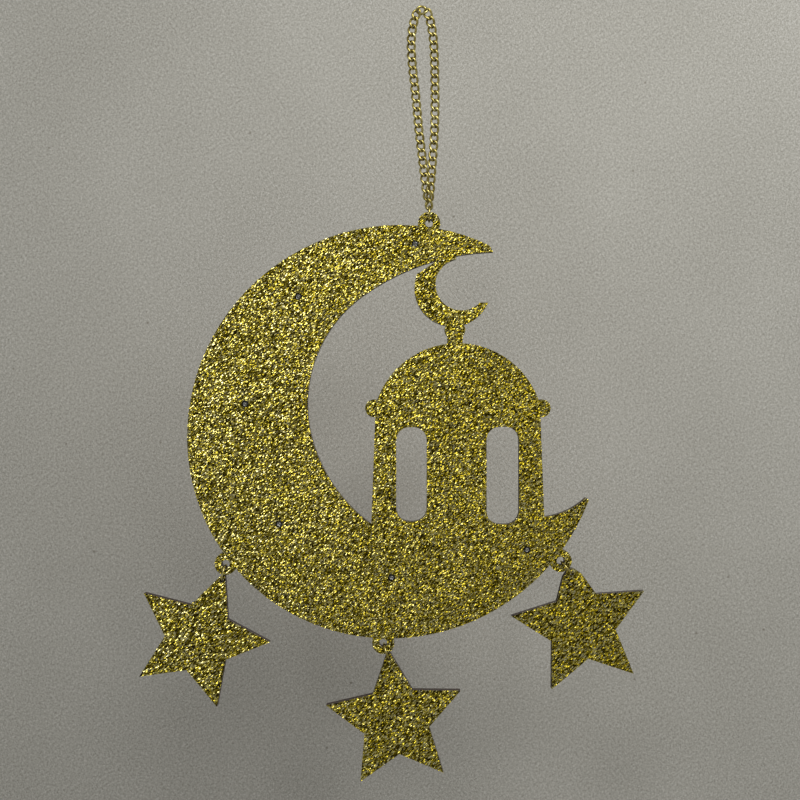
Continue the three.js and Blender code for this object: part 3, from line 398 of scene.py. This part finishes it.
def wall_paint():
    """A plain pale wall that only the camera, reflections and clear parts see, from its front."""
    p = Paint("backdrop")
    place = p.mapped(p.place(), Rotation=(0.0, WALL_TEXTURE_TURN, 0.0))
    broad = p.noise(4.0, detail=4.0, roughness=0.6, vector=place)
    mottle = p.noise(560.0, detail=5.0, roughness=0.75, vector=place)
    fibre = p.noise(1.0, detail=2.0, vector=p.mapped(place, Scale=(1300.0, 1300.0, 900.0)))
    tone = p.ramp(p.weighted((mottle, 0.5), (fibre, 0.38), (broad, 0.12)), [
        (0.38, srgb(142, 140, 132)), (0.5, srgb(177, 175, 167)), (0.62, srgb(208, 207, 201))])
    grit = p.voronoi(place, scale=SPECK_SCALE)
    chance = p.add("SeparateColor", {0: p.voronoi(place, scale=SPECK_SCALE, out="Color")}, out="Red")
    rare = p.maths("ADD", grit, p.maths("LESS_THAN", chance, BARE_SHARE))
    speck = p.ramp(rare, [(0.04, (0.62, 0.6, 0.57, 1)), (0.08, WHITE)])
    p.shine(Base_Color=p.darkened(tone, speck), Roughness=0.95, Specular_IOR_Level=0.1)
    p.bump(p.maths("ADD", mottle, fibre), strength=0.3, distance=0.0002)
    path = p.node("LightPath").outputs
    direct = p.maths("ADD", path["Is Camera Ray"], path["Is Glossy Ray"])
    seen = p.maths("ADD", direct, path["Is Transmission Ray"], clamp=True)
    front = p.maths("SUBTRACT", 1.0, p.add("NewGeometry", out="Backfacing"))
    shown = p.add("MixShader", {
        0: p.maths("MULTIPLY", seen, front), 1: p.add("BsdfTransparent"), 2: p.bsdf.outputs[0]})
    p.put(p.output.inputs["Surface"], shown)
    return p.material


PAINTS = {
    "board": board_paint(),
    "glitter_sheet": glitter_paint("glitter", PANEL_FLECK_SIZE),
    "brass_chain": metal_paint(
        "brass", srgb(112, 97, 42), srgb(186, 172, 98), srgb(242, 234, 176),
        roughness=0.2, scale=380.0, crevice=0.0014),
    "led_lens": lens_paint(),
    "lead": plastic_paint(
        "lead", srgb(20, 20, 21), srgb(38, 38, 40), roughness=0.5, grain=2400.0, depth=0.00003),
    "foam_tape": foam_paint(),
    "case_plastic": plastic_paint(
        "case_plastic", srgb(26, 26, 28), srgb(44, 44, 47), roughness=0.52, grain=2600.0, depth=0.00006),
    "slider_plastic": plastic_paint(
        "slider_plastic", srgb(122, 122, 124), srgb(150, 150, 152),
        roughness=0.45, grain=2600.0, depth=0.00004),
    "plated_steel": metal_paint(
        "plated_steel", srgb(150, 149, 144), srgb(190, 189, 184), srgb(216, 215, 211),
        roughness=0.3, scale=500.0),
    "cell_sleeve": cell_paint(),
}
DIE_PAINT = die_paint()
CUP_PAINT = metal_paint(
    "led_cup", srgb(96, 96, 94), srgb(150, 150, 147), srgb(214, 213, 209), roughness=0.18, scale=900.0)
STAR_GLITTER = glitter_paint("star_glitter", STAR_FLECK_SIZE)


# Pieces

def piece(name, mesh_maker, slot, body, replaced=(), paint=None):
    """A new mesh piece in metres that rides on a body and stands for CAD nodes."""
    bm = bmesh.new()
    mesh_maker(bm)
    bmesh.ops.recalc_face_normals(bm, faces=bm.faces)
    mesh = bpy.data.meshes.new(name)
    bm.to_mesh(mesh)
    bm.free()
    mesh.shade_smooth()
    obj = bpy.data.objects.new(name, mesh)
    bpy.context.scene.collection.objects.link(obj)
    obj.data.materials.append(paint or PAINTS[slot])
    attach(obj, body)
    if replaced:
        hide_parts(*replaced)
    return obj


def sweep(bm, centres, headings, inwards, radius, sides, closed=True):
    """A round wire along a row of centres; an open one gets flat ends."""
    rings = []
    for centre, heading, inward in zip(centres, headings, inwards):
        sideways = heading.cross(inward)
        row = []
        for side in range(sides):
            turn = 2 * math.pi * side / sides
            spoke = math.cos(turn) * inward + math.sin(turn) * sideways
            row.append(bm.verts.new(centre + radius * spoke))
        rings.append(row)
    count = len(rings) if closed else len(rings) - 1
    for step in range(count):
        near, far = rings[step], rings[(step + 1) % len(rings)]
        for side in range(sides):
            other = (side + 1) % sides
            bm.faces.new((near[side], near[other], far[other], far[side]))
    if not closed:
        bm.faces.new(rings[0])
        bm.faces.new(rings[-1])


# Chain and rings

def link_path(half_length):
    """A link's centre line about the origin: an oval twisted about its length."""
    half_width = (LINK_WIDTH - LINK_WIRE) / 2

    def centre_at(angle):
        twist = math.radians(LINK_TWIST_DEG) / 2 * math.sin(angle)
        across = half_width * math.cos(angle)
        return Vector((
            across * math.cos(twist), across * math.sin(twist), half_length * math.sin(angle)))

    centres, headings, inwards = [], [], []
    for step in range(LINK_STEPS):
        angle = 2 * math.pi * step / LINK_STEPS
        centre = centre_at(angle)
        heading = (centre_at(angle + HEADING_STEP) - centre_at(angle - HEADING_STEP)).normalized()
        inward = (-centre - heading * (-centre).dot(heading)).normalized()
        centres.append(centre)
        headings.append(heading)
        inwards.append(inward)
    return centres, headings, inwards


class Route:
    """A smooth centripetal curve through points, read at equal steps of its length."""

    DIVISIONS = 200

    def __init__(self, points):
        self.points = points
        self.lengths = [0.0]
        last = self.at(0.0)
        for step in range(1, self.DIVISIONS + 1):
            here = self.at(step / self.DIVISIONS)
            self.lengths.append(self.lengths[-1] + (here - last).length)
            last = here
        self.length = self.lengths[-1]

    def at(self, t):
        points = self.points
        along = (len(points) - 1) * t
        index = min(int(math.floor(along)), len(points) - 2)
        w = along - index
        p1, p2 = points[index], points[index + 1]
        p0 = points[index - 1] if index > 0 else 2 * points[0] - points[1]
        p3 = points[index + 2] if index + 2 < len(points) else 2 * points[-1] - points[-2]
        d0, d1, d2 = [math.sqrt((b - a).length) for a, b in ((p0, p1), (p1, p2), (p2, p3))]
        t1 = ((p1 - p0) / d0 - (p2 - p0) / (d0 + d1) + (p2 - p1) / d1) * d1
        t2 = ((p2 - p1) / d1 - (p3 - p1) / (d1 + d2) + (p3 - p2) / d2) * d1
        return (p1 + t1 * w + (-3 * p1 + 3 * p2 - 2 * t1 - t2) * w ** 2
                + (2 * p1 - 2 * p2 + t1 + t2) * w ** 3)

    def at_share(self, share):
        target = share * self.length
        index = 0
        while index < self.DIVISIONS - 1 and self.lengths[index + 1] < target:
            index += 1
        here, ahead = self.lengths[index], self.lengths[index + 1]
        return self.at((index + (target - here) / (ahead - here)) / self.DIVISIONS)


ring_low, ring_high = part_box("top_lug_ring")
RING_RADIUS = (ring_high.z - ring_low.z) / MM / 2 - RING_WIRE / 2
STRAND_ASIDE = LINK_SWELL * (LINK_WIDTH - LINK_WIRE) / 2 + LINK_WIRE / 2 + LINK_GAP


def strand_stops(side, route, half_length):
    """Where a strand's links meet, from the top link down to the ring, and their pitch."""
    pitch = 2 * half_length - LINK_WIRE - (LINK_GAP - LINK_MERGE) / 2
    stops = [Vector((side * (half_length - (LINK_WIRE - LINK_MERGE) / 2), 0, LINK_WIDTH / 2))]
    for slope in TOP_LINK_SLOPES_DEG:
        run, drop = math.cos(math.radians(slope)), math.sin(math.radians(slope))
        last = stops[-1]
        stops.append(Vector((last.x + side * pitch * run, 0, last.z - pitch * drop)))
    aside = side * STRAND_ASIDE
    ring = RING_CENTRE / MM
    top = ring.z + math.sqrt(RING_RADIUS ** 2 - aside ** 2)
    end = Vector((ring.x, aside, top - (RING_WIRE + LINK_GAP) / 2))
    curve = Route([stops[-1]] + [Vector((x, aside * share, z)) for x, share, z in route] + [end])
    count = LINKS_PER_NODE * NODES_PER_STRAND
    stops += [curve.at_share(link / count) for link in range(1, count + 1)]
    return stops, curve.length / count


def laid_link(bm, half_length, upper, lower, gap_above, gap_below, turn_deg):
    """One link between two stops, moved along them to keep its gaps to both neighbours."""
    axis = (upper - lower).normalized()
    backward = Vector((0, 1, 0))
    backward = (backward - axis * backward.dot(axis)).normalized()
    across = backward.cross(axis)
    centre = (upper + lower) / 2 + axis * (gap_below - gap_above) / -4
    placed = Matrix.Translation(centre) @ Matrix((across, backward, axis)).transposed().to_4x4()
    placed = placed @ Matrix.Rotation(math.radians(turn_deg), 4, "Z")
    turned = placed.to_3x3()
    centres, headings, inwards = link_path(half_length + (SHOWN_LINK_WIRE - LINK_WIRE) / 2)
    sweep(bm, [MM * (placed @ c) for c in centres], [turned @ h for h in headings],
          [turned @ i for i in inwards], MM * SHOWN_LINK_WIRE / 2, LINK_SIDES)


def link_settings(stops):
    """Each link of a strand as laid_link takes it: its stops, its gaps and its turn."""
    top_count = len(TOP_LINK_SLOPES_DEG)
    links = []
    for link in range(len(stops) - 1):
        in_strand = link - top_count
        first = in_strand >= 0 and in_strand % LINKS_PER_NODE == 0
        last = in_strand >= 0 and (in_strand + 1) % LINKS_PER_NODE == 0
        gap_above = LINK_GAP if first else -LINK_MERGE
        gap_below = LINK_GAP if last or link == top_count - 1 else -LINK_MERGE
        from_end = len(stops) - 1 - link
        turn = END_LINK_TURNS_DEG[-from_end] if from_end <= len(END_LINK_TURNS_DEG) else 0
        links.append((stops[link], stops[link + 1], gap_above, gap_below, turn))
    return links


def build_chain():
    """The two strands and the top links; the links' length is found by trial."""
    half_length = LINK_WIDTH / 2
    for _ in range(LENGTH_TRIALS):
        left_stops, left_pitch = strand_stops(-1, LEFT_ROUTE, half_length)
        right_stops, right_pitch = strand_stops(1, RIGHT_ROUTE, half_length)
        pitch = (left_pitch + right_pitch) / 2
        half_length = (pitch + LINK_WIRE + (LINK_GAP - LINK_MERGE) / 2) / 2

    def build_links(node, body, chosen):
        def make(bm):
            for link in chosen:
                laid_link(bm, half_length, *link)
        piece(f"{node}_smooth", make, "brass_chain", body, [node])

    top_count = len(TOP_LINK_SLOPES_DEG)
    top_links = [(right_stops[0], left_stops[0], 0, 0, 0)]
    for side, stops in (("left", left_stops), ("right", right_stops)):
        links = link_settings(stops)
        top_links += links[:top_count]
        for node in range(NODES_PER_STRAND):
            start = top_count + node * LINKS_PER_NODE
            build_links(f"{side}_strand_links_{node + 1}", "chain", links[start:start + LINKS_PER_NODE])
    build_links("chain_top_links", "chain_top", top_links)


def build_ring(name, body, centre, down, normal, split_deg):
    """A jump ring in the plane of its hanging direction and the board's normal, with its butt split."""
    def make(bm):
        start = math.radians(split_deg + RING_SPLIT_DEG / 2)
        turn = math.radians(360 - RING_SPLIT_DEG)
        centres, headings, inwards = [], [], []
        for step in range(RING_STEPS + 1):
            angle = start + turn * step / RING_STEPS
            out = math.cos(angle) * down + math.sin(angle) * normal
            centres.append(centre + MM * RING_RADIUS * out)
            headings.append((math.cos(angle) * normal - math.sin(angle) * down).normalized())
            inwards.append(-out)
        sweep(bm, centres, headings, inwards, MM * SHOWN_RING_WIRE / 2, RING_SIDES, closed=False)
    piece(f"{name}_smooth", make, "brass_chain", body, [name])


def build_rings():
    build_ring("top_lug_ring", "top_ring", RING_CENTRE, Vector((0, 0, -1)), Vector((0, 1, 0)),
               SPLIT_HIGH_DEG)
    splits = {"left": SPLIT_LOW_DEG, "middle": SPLIT_HIGH_DEG, "right": SPLIT_LOW_DEG}
    for side, split in splits.items():
        lug = Vector(joints[f"{side}_ring_swing"]["pos_m"])
        hole = Vector(joints[f"{side}_star_swing"]["pos_m"])
        down = (hole - lug).normalized()
        build_ring(f"{side}_star_ring", f"{side}_ring", lug + MM * RING_CENTRE_FROM_LUG * down,
                   down, panel_axis.normalized(), split)


# LEDs

def lathe(bm, profile, steps, placed):
    """Turns (radius, y) points about the Y axis; the profile starts and ends on the axis."""
    first = bm.verts.new(placed @ Vector((0, profile[0][1] * MM, 0)))
    last = bm.verts.new(placed @ Vector((0, profile[-1][1] * MM, 0)))
    rows = []
    for radius, y in profile[1:-1]:
        rows.append([bm.verts.new(placed @ Vector((
            MM * radius * math.cos(2 * math.pi * k / steps), MM * y,
            MM * radius * math.sin(2 * math.pi * k / steps)))) for k in range(steps)])
    for k in range(steps):
        other = (k + 1) % steps
        bm.faces.new((first, rows[0][k], rows[0][other]))
        for near, far in zip(rows, rows[1:]):
            bm.faces.new((near[k], far[k], far[other], near[other]))
        bm.faces.new((rows[-1][k], last, rows[-1][other]))


def led_place(name):
    """Where an LED's axis meets the panel, upright, and the angle that its legs are turned to."""
    upright = LEAN.inverted()
    points = [upright @ v.co for v in frame["nodes"][name].data.vertices]
    low = Vector((min(p.x for p in points), 0, min(p.z for p in points)))
    high = Vector((max(p.x for p in points), 0, max(p.z for p in points)))
    middle = (low + high) / 2
    half_way_down_legs = (BACK_Y + LED_FLANGE_HEIGHT + LED_LEG_LENGTH / 2) * MM
    tips = [p for p in points if p.y > half_way_down_legs]
    spread = max(tips, key=lambda p: (Vector((p.x, 0, p.z)) - middle).length) - middle
    return middle, math.atan2(spread.z, spread.x)


def build_led(index):
    """A clear 3 mm lens over its cup and die, with two legs out of the back."""
    name = f"led_{index}"
    middle, leg_angle = led_place(name)
    placed = LEAN @ Matrix.Translation(middle)
    shoulder = FRONT_Y - LED_PROUD + LED_RADIUS
    flange_back = BACK_Y + LED_FLANGE_HEIGHT
    angles = [math.pi / 2 * k / LED_DOME_STEPS for k in range(LED_DOME_STEPS + 1)]
    dome = [(LED_RADIUS * math.sin(a), shoulder - LED_RADIUS * math.cos(a)) for a in angles]
    edge = LED_FLANGE_EDGE
    lens = dome + [
        (LED_RADIUS, BACK_Y), (LED_FLANGE_RADIUS - edge, BACK_Y), (LED_FLANGE_RADIUS, BACK_Y + edge),
        (LED_FLANGE_RADIUS, flange_back - edge), (LED_FLANGE_RADIUS - edge, flange_back),
        (0, flange_back)]
    piece(f"{name}_lens", lambda bm: lathe(bm, lens, LED_LENS_STEPS, placed),
          "led_lens", "panel", [name])

    rim = shoulder + CUP_INSET
    cup = [(radius, rim + depth) for radius, depth in CUP_PROFILE]
    cup += [(CUP_STEM_RADIUS, BACK_Y), (0, BACK_Y)]
    piece(f"{name}_cup", lambda bm: lathe(bm, cup, CUP_STEPS, placed),
          "plated_steel", "panel", paint=CUP_PAINT)
    die = [(radius, rim + depth) for radius, depth in DIE_PROFILE]
    piece(f"{name}_die", lambda bm: lathe(bm, die, DIE_STEPS, placed),
          "case_plastic", "panel", paint=DIE_PAINT)

    def legs(bm):
        half = LED_LEG_WIDTH / 2
        turned = placed @ Matrix.Rotation(-leg_angle, 4, "Y")
        corners = [(-half, -half), (half, -half), (half, half), (-half, half)]
        near, far = flange_back + LED_LEG_CLEARANCE, flange_back + LED_LEG_LENGTH
        sections = ((near, 1.0), (far - LED_LEG_TAPER, 1.0), (far, LED_LEG_TIP_SHARE))
        for side in (-1, 1):
            centre = side * LED_LEG_PITCH / 2
            rows = [[bm.verts.new(turned @ (MM * Vector((centre + a * share, y, b * share))))
                     for a, b in corners] for y, share in sections]
            for low_row, high_row in zip(rows, rows[1:]):
                for k in range(4):
                    other = (k + 1) % 4
                    bm.faces.new((low_row[k], low_row[other], high_row[other], high_row[k]))
            bm.faces.new(rows[0])
            bm.faces.new(rows[-1])
    obj = piece(f"{name}_legs", legs, "plated_steel", "panel")
    for polygon in obj.data.polygons:
        polygon.use_smooth = False


# CAD nodes

def soften(name, width):
    """Rounds the moulded edges of a CAD node without touching its mesh."""
    obj = frame["nodes"][name]
    flat = obj.modifiers.new("Flats", "DECIMATE")
    flat.decimate_type = "DISSOLVE"
    flat.angle_limit = math.radians(FLAT_BELOW_DEG)
    bevel = obj.modifiers.new("Edges", "BEVEL")
    bevel.width = width * MM
    bevel.segments = ROUND_SEGMENTS
    bevel.limit_method = "ANGLE"
    bevel.angle_limit = math.radians(ROUND_ABOVE_DEG)
    bevel.harden_normals = False


def smooth_by_angle(limit_deg):
    """A node group that shades smooth across every edge flatter than the limit."""
    group = bpy.data.node_groups.new("smooth_by_angle", "GeometryNodeTree")
    group.interface.new_socket("Geometry", in_out="INPUT", socket_type="NodeSocketGeometry")
    group.interface.new_socket("Geometry", in_out="OUTPUT", socket_type="NodeSocketGeometry")
    nodes, links = group.nodes, group.links
    enter, leave = nodes.new("NodeGroupInput"), nodes.new("NodeGroupOutput")
    faces, edges = nodes.new("GeometryNodeSetShadeSmooth"), nodes.new("GeometryNodeSetShadeSmooth")
    edges.domain = "EDGE"
    angle, flatter = nodes.new("GeometryNodeInputMeshEdgeAngle"), nodes.new("ShaderNodeMath")
    flatter.operation = "LESS_THAN"
    flatter.inputs[1].default_value = math.radians(limit_deg)
    links.new(angle.outputs[0], flatter.inputs[0])
    links.new(enter.outputs[0], faces.inputs["Geometry"])
    links.new(faces.outputs[0], edges.inputs["Geometry"])
    links.new(flatter.outputs[0], edges.inputs["Shade Smooth"])
    links.new(edges.outputs[0], leave.inputs[0])
    return group


def dress_nodes():
    """Gives every CAD node its finish, and smooth shading where its edges aren't rounded."""
    slots = {part["node"]: part["material_slot"] for part in frame["record"]["subparts"]}
    smoothing = smooth_by_angle(SMOOTH_BELOW_DEG)
    for name, obj in frame["nodes"].items():
        obj.data.materials.clear()
        on_star = name.endswith("star_glitter_sheet")
        obj.data.materials.append(STAR_GLITTER if on_star else PAINTS[slots[name]])
        if name not in SOFTENED:
            modifier = obj.modifiers.new("Smooth", "NODES")
            modifier.node_group = smoothing


dress_nodes()
build_chain()
build_rings()
for number in range(1, LED_COUNT + 1):
    build_led(number)
for node, width in SOFTENED.items():
    soften(node, width)


# Stage, light and camera, in metres; wall and camera lean with the panel

WALL_PLACE = (0, 0.2, -0.19)
WALL_HALF = 1.5
CAMERA_PLACE = Vector((-0.011, -0.4318, -0.1915))
CAMERA_LENS = 38.7
CAMERA_SENSOR = 36.0
CAMERA_CLIP = (0.01, 20.0)
WORLD_COLOUR = srgb(188, 188, 186)
WORLD_STRENGTH = 0.6


def build_wall():
    mesh = bpy.data.meshes.new("backdrop")
    corners = [(-WALL_HALF, 0, -WALL_HALF), (WALL_HALF, 0, -WALL_HALF),
               (WALL_HALF, 0, WALL_HALF), (-WALL_HALF, 0, WALL_HALF)]
    mesh.from_pydata(corners, [], [(0, 1, 2, 3)])
    wall = bpy.data.objects.new("backdrop", mesh)
    bpy.context.scene.collection.objects.link(wall)
    wall.matrix_world = LEAN @ Matrix.Translation(WALL_PLACE)
    mesh.materials.append(wall_paint())


def area(name, place, target, size, watts, colour):
    """A square lamp that faces its target."""
    lamp = bpy.data.lights.new(name, "AREA")
    lamp.shape = "SQUARE"
    lamp.size = size
    lamp.energy = watts
    lamp.color = colour
    obj = bpy.data.objects.new(name, lamp)
    bpy.context.scene.collection.objects.link(obj)
    obj.location = place
    obj.rotation_euler = (Vector(target) - Vector(place)).to_track_quat("-Z", "Y").to_euler()


def build_lights():
    area("window", (0.25, -0.56, 0.36), target=(0.0, 0.0, -0.15), size=0.6, watts=5.0,
         colour=(1.0, 0.99, 0.965))
    area("glint", (-0.25, -0.95, 0.5), target=(0.0, 0.0, -0.2), size=0.16, watts=1.5,
         colour=(1.0, 1.0, 1.0))
    area("behind", (0.35, 0.8, 0.15), target=(0.0, 0.0, -0.2), size=0.8, watts=3.6,
         colour=(1.0, 1.0, 1.0))
    world = bpy.data.worlds.new("studio")
    world.use_nodes = True
    background = world.node_tree.nodes["Background"]
    background.inputs["Color"].default_value = WORLD_COLOUR
    background.inputs["Strength"].default_value = WORLD_STRENGTH
    bpy.context.scene.world = world


def build_camera():
    data = bpy.data.cameras.new("photo")
    data.lens = CAMERA_LENS
    data.sensor_width = CAMERA_SENSOR
    data.clip_start, data.clip_end = CAMERA_CLIP
    camera = bpy.data.objects.new("photo", data)
    bpy.context.scene.collection.objects.link(camera)
    level = Matrix.Rotation(math.radians(90), 4, "X")
    camera.matrix_world = LEAN @ Matrix.Translation(CAMERA_PLACE) @ level
    bpy.context.scene.camera = camera


build_wall()
build_lights()
build_camera()
bpy.context.scene.view_settings.view_transform = "Standard"
